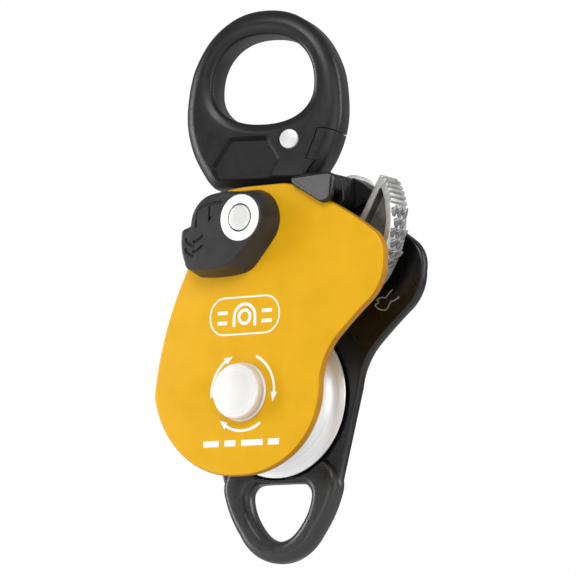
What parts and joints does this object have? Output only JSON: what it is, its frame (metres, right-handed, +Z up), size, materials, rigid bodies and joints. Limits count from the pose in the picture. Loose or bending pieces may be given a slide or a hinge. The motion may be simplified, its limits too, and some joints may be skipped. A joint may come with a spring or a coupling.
{
  "type": "rope pulley",
  "caption": "Progress-capture rope pulley: grooved sheave between a fixed and a swinging side plate, toothed cam, swivelling eye on top, lower attachment eye.",
  "frame": {"origin": "centre of the sheave on its axle, half way between the side plates", "axes": "+Z up to the swivel eye, +Y from the opening plate to the fixed plate along the sheave axle, +X towards the cam"},
  "size_m": [0.0865, 0.0333, 0.1744],
  "materials": {
    "black_anodised": "satin",
    "orange_anodised": "satin",
    "bright_aluminium": "satin",
    "machined_aluminium": "turned",
    "steel": "satin",
    "bearing_steel": "polished",
    "cast_steel": "cast",
    "black_plastic": "matte",
    "seal_rubber": "matte",
    "spring_steel": "satin"
  },
  "bodies": {
    "frame": {"back_plate": "black_anodised", "head_block": "black_anodised", "head_rivet": "steel", "top_stud": "steel", "sheave_axle": "bright_aluminium", "axle_washer": "bright_aluminium", "axle_rivet": "bright_aluminium", "bearing_inner": "bearing_steel", "cam_axle": "steel", "cam_spacer": "black_plastic", "cam_clip": "steel", "cam_spring": "spring_steel", "lock_axle": "steel", "lock_spring": "spring_steel"},
    "eye": {"swivel_eye": "black_anodised", "eye_keeper": "black_anodised", "eye_cross_pin": "steel", "swivel_stud": "steel", "swivel_nut": "steel"},
    "swivel_balls": {"swivel_balls": "bearing_steel"},
    "sheave": {"sheave": "machined_aluminium", "bearing_outer": "bearing_steel", "shield_front": "seal_rubber", "shield_back": "seal_rubber"},
    "bearing_balls": {"bearing_balls": "bearing_steel"},
    "opening_plate": {"front_plate": "orange_anodised", "lever_pin": "steel", "lever_ring": "bright_aluminium", "lever_spring": "spring_steel"},
    "lock_lever": {"lock_lever": "black_plastic"},
    "cam": {"cam": "cast_steel"},
    "cam_lock": {"cam_lock": "black_plastic"}
  },
  "joints": [
    {"name": "swivel_spin", "type": "hinge", "parent": "frame", "child": "eye", "pos_m": [-0.002, 0, 0.0655], "axis": [0, 0, 1], "continuous": true},
    {"name": "swivel_ball_roll", "type": "hinge", "parent": "frame", "child": "swivel_balls", "pos_m": [-0.002, 0, 0.057], "axis": [0, 0, 1], "continuous": true},
    {"name": "sheave_spin", "type": "hinge", "parent": "frame", "child": "sheave", "pos_m": [0, 0, 0], "axis": [0, 1, 0], "continuous": true},
    {"name": "bearing_ball_roll", "type": "hinge", "parent": "frame", "child": "bearing_balls", "pos_m": [0, 0, 0], "axis": [0, 1, 0], "continuous": true},
    {"name": "plate_swing", "type": "hinge", "parent": "frame", "child": "opening_plate", "pos_m": [0, -0.0108, 0], "axis": [0, 1, 0], "range_deg": [0, 120]},
    {"name": "lever_turn", "type": "hinge", "parent": "opening_plate", "child": "lock_lever", "pos_m": [0.0027, -0.016, 0.0535], "axis": [0, 1, 0], "range_deg": [-22, 0], "stiffness_Nm_per_rad": 0.05, "springref_deg": 20.05},
    {"name": "cam_swing", "type": "hinge", "parent": "frame", "child": "cam", "pos_m": [0.016, 0, 0.036], "axis": [0, 1, 0], "range_deg": [0, 40]},
    {"name": "cam_lock_press", "type": "hinge", "parent": "frame", "child": "cam_lock", "pos_m": [0.026, 0, 0.06], "axis": [0, 1, 0], "range_deg": [-8, 0], "stiffness_Nm_per_rad": 0.05, "springref_deg": 11.46}
  ],
  "couplings": [
    {"joint": "swivel_ball_roll", "follows": "swivel_spin", "ratio": 0.5},
    {"joint": "bearing_ball_roll", "follows": "sheave_spin", "ratio": 0.6}
  ]
}
